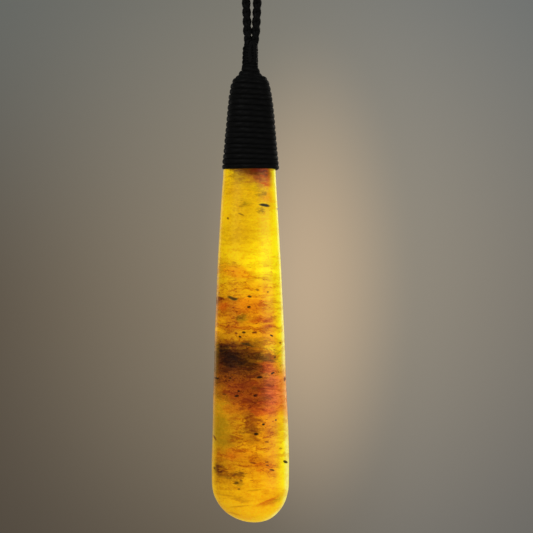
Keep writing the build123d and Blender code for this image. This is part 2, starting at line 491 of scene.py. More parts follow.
stem_piece = waxed_stem()
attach(stem_piece, "root")
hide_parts("stem_wrap")


# Materials. Each node is made after the ones that feed it, because the stone has so many that
# Cycles, which works in the order of making, would otherwise run out of room for their values.
class Nodes:
    """Short names for building a tree of nodes. Below, m is the one that is being built."""

    def __init__(self, tree):
        self.tree = tree
        self.shader = tree.nodes.get("Principled BSDF")

    def add(self, kind, **settings):
        node = self.tree.nodes.new(kind)
        for name, value in settings.items():
            setattr(node, name, value)
        return node

    def feed(self, socket, value):
        """Sets a socket to a number, vector or colour, or joins an output to it."""
        if isinstance(value, (int, float)):
            socket.default_value = value
        elif isinstance(value, tuple):
            socket.default_value = (*value, 1) if socket.type == "RGBA" else value
        else:
            self.tree.links.new(value, socket)

    def shade(self, sockets):
        """Feeds the material's shader."""
        for name, value in sockets.items():
            self.feed(self.shader.inputs[name], value)

    def math(self, operation, *values, clamp=False):
        node = self.add("ShaderNodeMath", operation=operation, use_clamp=clamp)
        for socket, value in zip(node.inputs, values):
            self.feed(socket, value)
        return node.outputs[0]

    def times(self, first, *others):
        """The product of several values."""
        for other in others:
            first = self.math("MULTIPLY", first, other)
        return first

    def distance(self, value, middle):
        """How far a value is from a middle one."""
        return self.math("ABSOLUTE", self.math("SUBTRACT", value, middle))

    def vector(self, operation, *values):
        node = self.add("ShaderNodeVectorMath", operation=operation)
        for socket, value in zip(node.inputs, values):
            self.feed(socket, value)
        return node.outputs["Value" if operation == "LENGTH" else "Vector"]

    def split(self, vector):
        """The x, y and z of a vector."""
        node = self.add("ShaderNodeSeparateXYZ")
        self.feed(node.inputs[0], vector)
        return node.outputs

    def spread(self, value, low, high, out_low=0.0, out_high=1.0, smooth=True):
        """A value between low and high brought to between out_low and out_high."""
        node = self.add("ShaderNodeMapRange", interpolation_type="SMOOTHSTEP" if smooth else "LINEAR")
        limits = {"Value": value, "From Min": low, "From Max": high, "To Min": out_low, "To Max": out_high}
        for name, limit in limits.items():
            self.feed(node.inputs[name], limit)
        return node.outputs["Result"]

    def zone(self, value, starts, whole_from, whole_to, ends):
        """One within a zone of a value, fading to nothing at both its ends."""
        return self.times(self.spread(value, starts, whole_from), self.spread(value, ends, whole_to))

    def mix(self, factor, first, second, blend="MIX"):
        node = self.add("ShaderNodeMix", data_type="RGBA", blend_type=blend)
        for number, value in ((0, factor), (6, first), (7, second)):
            self.feed(node.inputs[number], value)
        return node.outputs[2]

    def noise_node(self, place, scale, detail, roughness):
        node = self.add("ShaderNodeTexNoise")
        settings = {"Vector": place, "Scale": scale, "Detail": detail, "Roughness": roughness}
        for name, value in settings.items():
            self.feed(node.inputs[name], value)
        return node

    def noise(self, place, stretch, detail=4.0, roughness=0.6, shift=(0.0, 0.0, 0.0)):
        """Noise of a size of its own along each axis."""
        stretched = self.vector("MULTIPLY_ADD", place, stretch, shift)
        return self.noise_node(stretched, 1.0, detail, roughness).outputs["Fac"]

    def bump(self, height, strength, distance):
        """Joins a height to the material's shader, as relief this many metres deep."""
        node = self.add("ShaderNodeBump")
        for name, value in (("Height", height), ("Strength", strength), ("Distance", distance)):
            self.feed(node.inputs[name], value)
        self.feed(self.shader.inputs["Normal"], node.outputs[0])


def new_material(name):
    """A material and the short names for its nodes."""
    material = bpy.data.materials.new(name)
    material.use_nodes = True
    return material, Nodes(material.node_tree)


def srgb(red, green, blue):
    """A colour as seen on screen, 0 to 255, as linear light."""
    shares = (red / 255, green / 255, blue / 255)
    return tuple(
        share / 12.92 if share <= 0.04045 else ((share + 0.055) / 1.055) ** 2.4
        for share in shares
    )


THREAD_PLIES = 3
FIBRE_STRETCH = (26.0, 5.0, 1.0)  # fibres per turn round the thread and per mm along it
WAX_SCALE = 900.0                 # patches of wax per metre


def thread_material(name, ply_rise, bump_depth):
    """Black waxed thread: a twist of plies with painted shade in the grooves between them, fine fibres and
    a dull, uneven wax sheen.
    """
    material, m = new_material(name)
    thread_map = m.add("ShaderNodeUVMap", uv_map="thread").outputs[0]
    round_thread, along_thread, _ = m.split(thread_map)
    twist = m.math("ADD", m.times(round_thread, THREAD_PLIES), m.times(along_thread, 1 / ply_rise))
    ridge = m.math("MULTIPLY_ADD", m.math("SINE", m.times(twist, 2 * math.pi)), 0.5, 0.5)
    hair = m.noise(thread_map, FIBRE_STRETCH)
    place = m.add("ShaderNodeTexCoord").outputs["Object"]
    wax = m.noise_node(place, WAX_SCALE, 3.0, 0.6).outputs["Fac"]
    # The ply ridges are lighter and the grooves between them darker: painted shade, with the wax's uneven
    # tone on top.
    shade = m.math("MULTIPLY_ADD", ridge, 0.35, m.times(wax, 0.75), clamp=True)
    m.shade({
        "Base Color": m.mix(shade, srgb(2, 2, 2), srgb(9, 9, 9)),
        "Roughness": m.spread(wax, 0.3, 0.72, 0.72, 0.5),
        "Specular IOR Level": 0.06,
        "Sheen Weight": 0.01,
    })
    m.bump(m.math("ADD", ridge, m.times(hair, 0.8)), 0.6, bump_depth)
    return material


STONE_COLOURS = {
    "honey": srgb(234, 186, 8),
    "lemon": srgb(255, 234, 16),
    "pale": srgb(255, 242, 130),
    "straw": srgb(196, 150, 10),
    "gold": srgb(236, 174, 8),
    "amber": srgb(224, 138, 6),
    "tangerine": srgb(240, 146, 8),
    "ochre": srgb(180, 120, 4),
    "olive": srgb(146, 112, 6),
    "clay": srgb(196, 104, 44),
    "rust": srgb(192, 84, 6),
    "red": srgb(208, 90, 18),
    "pink": srgb(236, 120, 60),
    "chestnut": srgb(110, 38, 6),
    "umber": srgb(98, 48, 6),
    "moss": srgb(56, 44, 10),
    "dark": srgb(26, 8, 2),
    "ink": srgb(14, 20, 12),
}
# What the colour is multiplied by where a marking of this kind is at its strongest.
TINTS = {
    "band": (0.62, 0.38, 0.20),
    "light band": (1.30, 1.30, 1.10),
    "vein": (0.60, 0.24, 0.06),
    "dark thread": (0.22, 0.13, 0.08),
    "crumb": (0.40, 0.10, 0.03),
    "vein at the rim": (0.85, 0.50, 0.15),
}
# Clouds of colour in the stone and, after them, its inclusions. Place in mm to the right of
# the middle and above the foot, width and height in mm, tilt in degrees, softness of the
# edge, strength.
CLOUDS = [
    ("lemon", 4.6, 48.9, 5.6, 9.3, 0, 0.95, 1),
    ("lemon", 2.2, 47.1, 5.6, 3.7, 0, 0.95, 0.6),
    ("ochre", -0.4, 57.5, 8.1, 10.4, 0, 0.95, 0.42),
    ("honey", -5.0, 58.6, 2.2, 9.3, 0, 0.95, 0.5),
    # The clay, umber and chestnut clouds here darken the stone just under the binding, from 63 to 65.6 mm
    # up: painted shade below the binding.
    ("clay", 2.2, 64.5, 7.4, 4.4, -14, 0.6, 1),
    ("umber", 0.9, 65.1, 7.4, 2.4, -8, 0.85, 1.1),
    ("chestnut", 0.8, 65.4, 7, 1.3, -4, 0.8, 1),
    ("olive", -1.8, 64.3, 3, 3, 0, 0.9, 0.7),
    ("rust", 3.7, 64.7, 1.7, 3, 0, 0.9, 0.55),
    ("umber", -1.3, 64.9, 3.7, 1.5, 0, 0.9, 0.75),
    ("umber", 0.6, 63.4, 4.1, 1.7, -14, 0.9, 0.5),
    ("ochre", -1.8, 61.2, 5.6, 4.1, 0, 0.95, 0.4),
    ("gold", 5.2, 61.5, 1.5, 4.4, 0, 0.9, 0.5),
    ("rust", 3.2, 62.6, 2.6, 0.6, -8, 0.7, 0.9),
    ("olive", 1.5, 61.9, 3.3, 1.3, -12, 0.9, 0.55),
    ("amber", 3.7, 60.4, 3.3, 3, 0, 0.9, 0.6),
    ("olive", 2.1, 60.6, 1.3, 1.3, 0, 0.9, 0.8),
    ("olive", 2.1, 57.7, 1.1, 1.1, 0, 0.9, 0.75),
    ("olive", -1.0, 58.9, 1.5, 1.3, 0, 0.9, 0.65),
    ("ochre", -2.6, 53.4, 6.7, 3.7, -5, 0.95, 0.35),
    ("ochre", -4.6, 47.1, 3.7, 3.3, -12, 0.8, 0.55),
    ("umber", -5.5, 47.1, 1.3, 1.5, -10, 0.9, 0.35),
    ("amber", -2.2, 46.2, 6.7, 2.4, -10, 0.8, 0.7),
    ("amber", 1.3, 44.3, 4.1, 1.5, -4, 0.9, 0.2),
    ("amber", 4.1, 43.6, 3.3, 1.5, 0, 0.9, 0.2),
    ("gold", 0.0, 43.0, 11.1, 2.6, 0, 0.9, 0.6),
    ("chestnut", -6.0, 41.2, 0.9, 1.5, 0, 0.8, 1.1),
    ("rust", -5.1, 39.9, 2.2, 1.1, 0, 0.8, 0.8),
    ("rust", -1.8, 40.6, 9.3, 1.5, 0, 0.8, 0.36),
    ("rust", -4.1, 38.2, 6.3, 3, 0, 0.9, 0.32),
    ("tangerine", 0.4, 40.1, 5.9, 3, 0, 0.8, 0.5),
    ("olive", -1.6, 37.9, 1.9, 1.1, 0, 0.9, 0.9),
    ("rust", 3.0, 37.7, 5.9, 0.9, 5, 0.8, 0.8),
    ("rust", 4.1, 36.4, 3.7, 0.9, 0, 0.8, 0.8),
    ("rust", -1.8, 36.2, 6.7, 0.9, -4, 0.8, 0.4),
    ("gold", -5.5, 37.1, 2.2, 2.6, 0, 0.9, 0.5),
    ("umber", 0.8, 33.6, 5.6, 1.1, 0, 0.9, 0.2),
    ("umber", -2.6, 32.5, 8.1, 2.4, -2, 0.8, 0.95),
    ("umber", -2.2, 28.2, 10, 3.7, -2, 0.8, 0.9),
    ("rust", 3.7, 28.9, 5.6, 2.2, -4, 0.8, 1),
    ("rust", 4.8, 30.6, 3.7, 0.7, -14, 0.7, 0.8),
    ("dark", -2.9, 30.4, 8.1, 2.8, -3, 0.9, 0.55),
    ("dark", -5.0, 30.8, 3.3, 3.3, 12, 0.8, 1.1),
    ("dark", -3.7, 28.8, 6.3, 1.5, -6, 0.9, 0.8),
    ("moss", -0.3, 33.1, 2, 0.7, -2, 0.6, 0.9),
    ("umber", 1.1, 31.0, 6.3, 1.5, -10, 0.9, 0.9),
    ("umber", -4.4, 28.6, 4.8, 3.7, -6, 0.8, 1),
    ("umber", -4.1, 26.4, 6.3, 1.9, -6, 0.8, 1),
    ("chestnut", -1.1, 25.8, 6.3, 1.9, 0, 0.8, 0.9),
    ("umber", -0.7, 23.9, 6.7, 4.4, 0, 0.9, 0.5),
    ("chestnut", -0.2, 24.1, 7.8, 5.2, 0, 0.85, 1.5),
    ("rust", -2.2, 21.9, 6.7, 2.6, 0, 0.9, 1.1),
    ("chestnut", -1.8, 22.8, 4.8, 1.9, 0, 0.9, 0.7),
    ("rust", -2.2, 23.4, 6.7, 5.6, 0, 0.95, 0.6),
    ("red", 4.1, 23.8, 7.4, 6.3, 0, 0.95, 1.1),
    ("pink", 5.8, 23.4, 1.7, 3.7, 0, 0.9, 0.6),
    ("straw", -5.4, 22.3, 3.3, 4.4, 0, 0.85, 0.8),
    ("chestnut", -0.8, 26.4, 2, 1.7, 20, 0.7, 0.8),
    ("chestnut", 2.2, 25.4, 2.2, 1.1, -30, 0.9, 0.8),
    ("chestnut", 3.7, 26.2, 4.1, 1.1, -6, 0.9, 0.7),
    ("rust", 3.7, 23.0, 3.7, 0.7, 6, 0.9, 0.6),
    ("chestnut", 0.9, 22.3, 1.9, 1.1, 20, 0.8, 0.9),
    ("umber", 2.6, 23.4, 2.2, 0.9, 0, 0.9, 0.8),
    ("chestnut", 0.5, 19.7, 2.6, 7.4, 0, 0.85, 1.1),
    ("red", 2.6, 21.0, 5.9, 1.9, 0, 0.9, 0.8),
    ("chestnut", 2.2, 21.7, 2.6, 1.5, 0, 0.9, 0.6),
    ("amber", 3.2, 18.2, 5.6, 3, 0, 0.9, 0.6),
    ("olive", -5.9, 18.2, 2.6, 6.7, 0, 0.9, 0.5),
    ("straw", -3.3, 19.3, 4.8, 6.3, 0, 0.95, 0.45),
    ("ochre", -2.6, 19.9, 4.4, 3.3, 0, 0.9, 0.25),
    ("ochre", -2.2, 16.0, 4.8, 2.6, 0, 0.9, 0.55),
    ("umber", 0.8, 17.5, 2.8, 1.5, 0, 0.85, 0.6),
    ("gold", 1.9, 14.1, 6.7, 2.2, 0, 0.9, 0.55),
    ("rust", -2.6, 13.0, 5.6, 1.9, 4, 0.8, 0.5),
    ("rust", 2.2, 11.0, 5.2, 2.8, -8, 0.8, 0.5),
    ("umber", -5.6, 10.1, 1.9, 2.6, -10, 0.8, 1),
    ("umber", -4.1, 8.8, 2.6, 1.1, -12, 0.8, 0.65),
    ("umber", -2.2, 9.4, 2.2, 0.7, 8, 0.7, 0.75),
    ("umber", -2.0, 8.0, 1.3, 1.7, 0, 0.8, 0.5),
    ("gold", 2.2, 7.8, 6.7, 3, 0, 0.9, 0.5),
    ("ochre", -2.2, 4.9, 3.3, 0.7, -8, 0.9, 0.6),
    ("rust", 3.7, 4.3, 4.4, 1.5, 18, 0.95, 0.6),
    ("chestnut", 4.8, 4.7, 2.4, 0.7, 20, 0.9, 0.4),
    ("lemon", 5.0, 47.1, 2.2, 4.8, 0, 0.95, 0.7),
    ("gold", 5.0, 40.4, 2.2, 3.3, 0, 0.95, 0.7),
    ("amber", -0.4, 0.8, 3, 1.1, -8, 0.9, 0.6),
    ("straw", -6.3, 14.1, 0.9, 3, 0, 0.9, 0.7),
    ("umber", -3.3, 28.6, 9.6, 4.4, -3, 0.95, 0.95),
    ("dark", -4.4, 30.4, 5.6, 4.1, -6, 0.95, 0.85),
    ("umber", 1.1, 33.6, 4.4, 1.5, 0, 0.9, 0.45),
    ("dark", -2.2, 29.3, 6.7, 2.6, -10, 0.95, 0.7),
    ("umber", -2.8, 27.6, 8.1, 2.2, 0, 0.9, 1),
    ("dark", -2.8, 27.8, 6.3, 1.9, 0, 0.95, 0.45),
    ("dark", 2.2, 30.7, 4.4, 0.9, -8, 0.9, 0.65),
    ("chestnut", -1.6, 24.7, 8.5, 5.6, 0, 0.95, 0.8),
    ("pink", 5.0, 25.2, 3.3, 6.7, 0, 0.95, 0.65),
    ("lemon", 4.6, 32.5, 2.6, 1.5, 0, 0.95, 0.6),
    ("umber", -6.1, 27.1, 1.9, 6.3, 0, 0.95, 0.8),
    ("gold", -6.1, 35.6, 2.6, 1.9, 0, 0.9, 0.8),
    ("olive", -5.5, 16.9, 4.1, 5.6, 0, 0.95, 0.8),
    ("chestnut", -0.5, 23.2, 7.4, 1.9, 0, 0.9, 0.6),
    ("lemon", 4.6, 40.4, 2.6, 3.7, 0, 0.95, 0.5),
    ("gold", 4.8, 16.7, 2.6, 3, 0, 0.95, 0.6),
    ("lemon", 3.0, 45.4, 4.4, 2, 0, 0.95, 0.45),
]
INCLUSIONS = [
    ("ink", 2.7, 58.6, 1.95, 0.5, -10, 0.5, 0.97),
    ("umber", -1.5, 56.9, 1.2, 0.3, -24, 0.6, 0.65),
    ("umber", -4.0, 56.2, 0.4, 0.4, 0, 0.6, 0.85),
    ("umber", 5.1, 58.0, 0.4, 0.45, 0, 0.6, 0.8),
    ("ochre", -2.9, 48.1, 0.75, 0.45, 0, 0.8, 0.8),
    ("moss", -3.5, 41.7, 1.2, 0.5, -16, 0.6, 0.92),
    ("moss", -2.8, 41.4, 1.3, 0.5, 4, 0.6, 0.92),
    ("moss", 0.0, 41.8, 0.8, 0.4, -6, 0.6, 0.95),
    ("dark", -0.1, 39.9, 0.65, 0.35, 8, 0.5, 0.97),
    ("chestnut", -2.4, 35.1, 0.55, 0.35, -20, 0.6, 0.9),
    ("dark", -1.0, 35.3, 0.65, 0.35, -10, 0.5, 0.9),
    ("dark", -1.7, 34.5, 0.5, 0.4, -20, 0.5, 0.95),
    ("umber", 0.8, 35.3, 0.95, 0.25, -4, 0.5, 0.95),
    ("dark", 4.0, 34.7, 0.65, 0.3, -22, 0.5, 0.95),
    ("umber", 5.7, 33.3, 0.35, 0.35, 0, 0.6, 0.8),
    ("umber", 1.3, 43.1, 0.65, 0.35, -20, 0.7, 0.6),
    ("umber", 3.3, 42.7, 0.45, 0.5, -20, 0.7, 0.55),
    ("dark", 4.6, 30.7, 0.45, 0.3, 0, 0.6, 0.8),
    ("dark", 1.8, 27.1, 1.1, 0.45, 6, 0.5, 0.97),
    ("dark", 4.2, 27.8, 0.75, 0.35, 25, 0.5, 0.95),
    ("chestnut", 6.5, 26.6, 0.55, 0.95, 0, 0.6, 0.9),
    ("dark", -6.0, 26.8, 0.95, 0.35, -4, 0.5, 0.9),
    ("dark", -3.6, 26.9, 0.55, 0.3, 0, 0.6, 0.8),
    ("dark", -2.0, 24.6, 0.5, 0.35, 10, 0.5, 0.9),
    ("dark", -2.4, 23.7, 0.75, 0.45, 14, 0.5, 0.9),
    ("dark", 1.1, 23.8, 0.85, 0.5, 10, 0.6, 0.85),
    ("umber", -4.6, 23.9, 0.75, 0.3, -10, 0.5, 0.95),
    ("chestnut", 0.0, 21.6, 0.75, 0.4, 14, 0.6, 0.95),
    ("dark", 2.5, 18.5, 0.5, 0.4, 0, 0.5, 0.97),
    ("umber", 4.8, 19.2, 0.35, 0.35, 0, 0.5, 0.95),
    ("chestnut", 0.5, 18.4, 0.75, 0.5, 0, 0.8, 0.6),
    ("dark", 1.2, 16.7, 0.95, 0.5, -4, 0.5, 0.98),
    ("chestnut", 3.1, 15.3, 0.8, 0.35, -10, 0.6, 0.75),
    ("umber", -6.5, 15.8, 1, 0.4, -60, 0.6, 0.9),
    ("umber", 5.6, 14.0, 0.55, 0.35, 0, 0.7, 0.5),
    ("chestnut", 0.6, 11.5, 1.3, 0.35, -8, 0.6, 0.85),
    ("chestnut", 3.1, 11.6, 0.65, 0.35, 0, 0.6, 0.7),
    ("chestnut", 3.2, 11.0, 0.65, 0.35, 0, 0.6, 0.9),
    ("dark", 4.1, 10.1, 0.85, 0.25, -12, 0.5, 0.92),
    ("rust", 1.7, 10.0, 1.1, 0.4, 0, 0.8, 0.6),
    ("moss", 6.6, 11.4, 1, 0.5, -30, 0.5, 0.97),
    ("umber", -5.9, 10.6, 0.75, 0.45, -20, 0.7, 0.85),
    ("umber", -6.5, 10.2, 0.5, 0.5, 0, 0.6, 0.8),
    ("dark", -2.5, 7.8, 0.85, 0.5, 10, 0.7, 0.8),
    ("umber", -1.6, 8.3, 0.55, 0.35, 0, 0.7, 0.8),
    ("umber", -2.0, 6.7, 0.55, 0.35, 0, 0.7, 0.75),
    ("umber", -2.8, 9.2, 0.95, 0.3, 30, 0.6, 0.75),
    ("umber", -1.6, 9.6, 0.95, 0.25, -4, 0.6, 0.7),
    ("chestnut", -1.1, 25.6, 2.2, 1.1, 14, 0.85, 0.7),
    ("chestnut", -0.4, 22.8, 1.85, 0.95, -10, 0.85, 0.7),
    ("chestnut", 2.4, 24.5, 1.3, 0.65, 8, 0.8, 0.7),
    ("chestnut", 3.4, 25.6, 1.1, 0.5, -6, 0.7, 0.7),
    ("umber", 0.9, 25.1, 1.65, 0.75, -8, 0.85, 0.7),
    ("chestnut", -1.6, 21.4, 1.1, 0.55, 0, 0.8, 0.6),
    ("ochre", -4.4, 5.4, 3.35, 0.35, -4, 0.8, 0.6),
    ("ochre", -1.8, 3.4, 3.7, 0.35, 9, 0.8, 0.6),
    ("rust", 3.4, 4.5, 3.35, 0.45, 22, 0.7, 0.6),
    ("ochre", 1.1, 6.5, 2.95, 0.35, 6, 0.8, 0.6),
    ("ochre", -3.1, 1.9, 2.6, 0.3, -12, 0.8, 0.5),
]
# Where markings lie from front to back, mm: the y of their middle, and how far they reach.
CLOUD_DEPTH = (0.0, 60.0)
FRONT_DEPTH = (-3.0, 5.5)
BACK_DEPTH = (3.4, 5.0)


def mark_group():
    """A group of nodes that lays one soft oval marking over a colour."""
    group = bpy.data.node_groups.new("marking", "ShaderNodeTree")
    for kind, name in (
        ("Color", "Under"), ("Vector", "Place"), ("Vector", "Centre"), ("Vector", "Turn"),
        ("Vector", "Size"), ("Float", "Edge"), ("Float", "Strength"), ("Color", "Colour"),
        ("Float", "Mottle"),
    ):
        group.interface.new_socket(name, in_out="INPUT", socket_type="NodeSocket" + kind)
    group.interface.new_socket("Colour", in_out="OUTPUT", socket_type="NodeSocketColor")
    m = Nodes(group)
    given = m.add("NodeGroupInput").outputs
    moved = m.vector("SUBTRACT", given["Place"], given["Centre"])
    turned = m.add("ShaderNodeVectorRotate", rotation_type="EULER_XYZ")
    m.feed(turned.inputs["Vector"], moved)
    m.feed(turned.inputs["Rotation"], given["Turn"])
    apart = m.vector("LENGTH", m.vector("DIVIDE", turned.outputs[0], given["Size"]))
    fade = m.spread(apart, given["Edge"], 1.0, 1.0, 0.0)
    amount = m.math("MULTIPLY", m.times(fade, given["Strength"]), given["Mottle"], clamp=True)
    marked = m.mix(amount, given["Under"], given["Colour"])
    m.feed(m.add("NodeGroupOutput").inputs[0], marked)
    return group


def lay(m, colour, rows, place, depth, mottle=1.0):
    """Lays rows of markings over a colour, the first one lowest."""
    middle, reach = depth
    for name, right, up, width, height, tilt, softness, strength in rows:
        node = m.add("ShaderNodeGroup", node_tree=marking)
        sockets = {
            "Under": colour,
            "Place": place,
            "Centre": (right, middle, up),
            "Turn": (0, math.radians(tilt), 0),
            "Size": (width / (2 - softness), reach, height / (2 - softness)),
            "Edge": 1.0 - softness,
            "Strength": strength,
            "Colour": STONE_COLOURS[name],
            "Mottle": mottle,
        }
        for socket, value in sockets.items():
            m.feed(node.inputs[socket], value)
        colour = node.outputs[0]
    return colour


def back_inclusions():
    """Rows of inclusions for the stone's back, which the photo doesn't show."""
    dice = np.random.default_rng(8)
    names = ("dark", "umber", "moss", "chestnut")
    return [
        (
            names[dice.integers(4)], dice.uniform(-5, 5), dice.uniform(4, 60),
            dice.uniform(0.4, 1.3), dice.uniform(0.3, 0.5), dice.uniform(-25, 25), 0.5, 0.9,
        )
        for _ in range(20)
    ]


class StonePlaces:
    """What the stone's layers are drawn from: places in mm from the foot, noise and zones."""

    def __init__(self, m):
        coordinates = m.add("ShaderNodeTexCoord")
        self.plain = m.vector(
            "MULTIPLY_ADD", coordinates.outputs["Object"], (1 / MM, 1 / MM, 1 / MM), (0.0, 0.0, -FOOT_Z)
        )
        self.right, _, self.up = m.split(self.plain)
        self.faces_right, _, self.faces_up = m.split(coordinates.outputs["Normal"])

        # Two noises, a slow and a quick one, warp the places
        half = (0.5, 0.5, 0.5)
        self.slow = m.noise_node(m.vector("MULTIPLY", self.plain, (0.55, 0.55, 1.0)), 0.55, 4.0, 0.62)
        quick = m.noise_node(m.vector("MULTIPLY", self.plain, (0.8, 0.8, 2.4)), 1.0, 4.0, 0.65)
        swing = m.vector("SUBTRACT", self.slow.outputs["Color"], half)
        flick = m.vector("SUBTRACT", quick.outputs["Color"], half)
        self.swayed = m.vector("MULTIPLY_ADD", swing, (0.7, 0.7, 0.5), self.plain)
        self.warped = m.vector("MULTIPLY_ADD", swing, (3.0, 3.0, 2.2), self.plain)
        self.warped = m.vector("MULTIPLY_ADD", flick, (4.0, 4.0, 1.0), self.warped)

        # Bands and veins are strongest below the clear upper third, and few at the lower left
        ends = m.times(m.spread(self.up, 52.0, 42.0, 0.3, 1.0), m.spread(self.up, 2.0, 11.0, 0.2, 1.0))
        calm = m.times(m.zone(self.up, 12.0, 15.5, 22.5, 25.5), m.spread(self.right, -2.5, -5.0, 0.0, 0.85))
        self.veined = m.times(ends, m.math("SUBTRACT", 1.0, calm))
        self.bands = m.noise(self.warped, (0.17, 0.17, 1.0))
        broken = m.spread(m.noise(self.warped, (0.6, 0.6, 0.8), 3.0), 0.38, 0.60)
        self.coarse_veins = self.veins(m, 1.3, 0.070, 0.75, broken)
        self.fine_veins = self.veins(m, 2.6, 0.060, 0.55, broken)

    def veins(self, m, height, width, strength, broken):
        """Thin, broken lines where a drawn-out noise passes through its middle."""
        lines = m.noise(self.warped, (0.14 * height, 0.14 * height, height))
        vein = m.spread(m.distance(lines, 0.5), 0.0, width, strength, 0.0)
        return m.times(vein, broken, self.veined)


def plain_tones(m, at):
    """Darker on the left: clear at the top, deeper in the middle, golden at the foot."""
    across = m.spread(at.right, -6.0, 5.5, smooth=False)
    clear = m.mix(across, srgb(222, 182, 5), srgb(252, 214, 6))
    deep = m.mix(across, srgb(176, 118, 4), srgb(240, 168, 6))
    foot = m.mix(across, srgb(218, 166, 6), srgb(252, 188, 8))
    colour = m.mix(m.spread(at.up, 48.5, 40.0), clear, deep)
    return m.mix(m.spread(at.up, 11.0, 4.0), colour, foot)


def banded(m, at, colour):
    """Drawn-out bands, dark and light, and the thin veins in them."""
    dark = m.times(m.spread(at.bands, 0.46, 0.66, 0.0, 0.55), at.veined)
    colour = m.mix(dark, colour, TINTS["band"], "MULTIPLY")
    light = m.times(m.spread(at.bands, 0.46, 0.30, 0.0, 0.35), at.veined)
    colour = m.mix(light, colour, TINTS["light band"], "MULTIPLY")
    for veins in (at.coarse_veins, at.fine_veins):
        colour = m.mix(veins, colour, TINTS["vein"], "MULTIPLY")
    return colour


def threaded(m, at, colour):
    """Clear orange threads in the red zone and dark ones in the dark patch above it."""
    threads = m.noise(at.warped, (0.35, 0.35, 1.7), shift=(7.0, 3.0, 0.0))
    clearer = m.spread(m.distance(threads, 0.5), 0.0, 0.06, 0.2, 0.0)
    colour = m.mix(m.times(clearer, m.zone(at.up, 17.0, 21.0, 27.0, 30.0)), colour, srgb(236, 138, 16))
    streaks = m.noise(at.warped, (0.32, 0.32, 1.1), 5.0, 0.7, shift=(0.0, 5.0, 9.0))
    dusk = m.times(m.spread(streaks, 0.50, 0.64, 0.0, 0.75), m.zone(at.up, 26.0, 29.0, 31.5, 34.5))
    return m.mix(dusk, colour, TINTS["dark thread"], "MULTIPLY")


def crumbled(m, at, colour):
    """Small dark crumbs, in some of the cells that the stone is divided into."""
    stretched = m.vector("MULTIPLY", at.warped, (0.62, 0.9, 1.9))
    cells = m.add("ShaderNodeTexVoronoi", feature="F1")
    m.feed(cells.inputs["Vector"], stretched)
    m.feed(cells.inputs["Scale"], 1.15)
    kind = m.add("ShaderNodeSeparateColor")
    m.feed(kind.inputs[0], cells.outputs["Color"])
    radius = m.times(m.spread(kind.outputs[0], 0.7, 0.98), 0.34)
    inside = m.math("SUBTRACT", radius, cells.outputs["Distance"])
    crumb = m.times(m.spread(inside, 0.0, 0.10, 0.0, 0.8), at.veined)
    return m.mix(crumb, colour, TINTS["crumb"], "MULTIPLY")


def painted_rim_glow(m, at, colour):
    """A painted glow along the thin edge, in place of light shining through it from behind: lemon to nearly
    white on the right, golden at the left and below.
    """
    turned = m.math("ADD", at.faces_right, m.spread(at.up, 52.0, 20.0, 0.0, 0.15))
    corner = m.math("SUBTRACT", m.times(at.faces_right, 0.62), m.times(at.faces_up, 0.78))
    turned = m.math("MAXIMUM", turned, m.math("ADD", corner, 0.12))
    _, _, wavy_up = m.split(at.warped)
    not_red = m.spread(m.distance(wavy_up, 24.0), 2.5, 7.0, 0.12, 1.0)
    not_dark = m.spread(m.distance(at.up, 30.0), 1.5, 5.0, 0.6, 1.0)
    above_foot = m.spread(at.up, 2.0, 9.0, 0.4, 1.0)
    unbanded = m.spread(at.bands, 0.42, 0.62, 1.0, 0.45)
    glow = m.times(m.spread(turned, 0.50, 1.0, 0.0, 0.98), not_red, not_dark, above_foot, unbanded)
    # Painted glow: lemon on the parts that face right.
    colour = m.mix(glow, colour, srgb(255, 244, 22))
    # Painted highlight: a pale line at the very edge, orange in the red zone.
    edge = m.times(m.spread(turned, 0.84, 1.10), m.spread(at.faces_right, 0.94, 1.0, 1.0, 0.4), unbanded)
    colour = m.mix(edge, colour, m.mix(not_red, srgb(250, 158, 70), STONE_COLOURS["pale"]))
    veins = m.times(at.fine_veins, m.spread(at.faces_right, 0.60, 0.95, 0.0, 0.8))
    colour = m.mix(veins, colour, TINTS["vein at the rim"], "MULTIPLY")
    # Painted glow: honey gold on the left edge, strongest low down.
    left = m.times(m.spread(at.faces_right, -0.66, -0.96, 0.0, 0.6), m.spread(at.up, 22.0, 8.0, 0.2, 1.0))
    colour = m.mix(left, colour, STONE_COLOURS["honey"])
    # Painted glow: bright gold on the underside of the foot.
    return m.mix(m.spread(at.faces_up, -0.68, -0.95, 0.0, 0.8), colour, srgb(255, 206, 24))


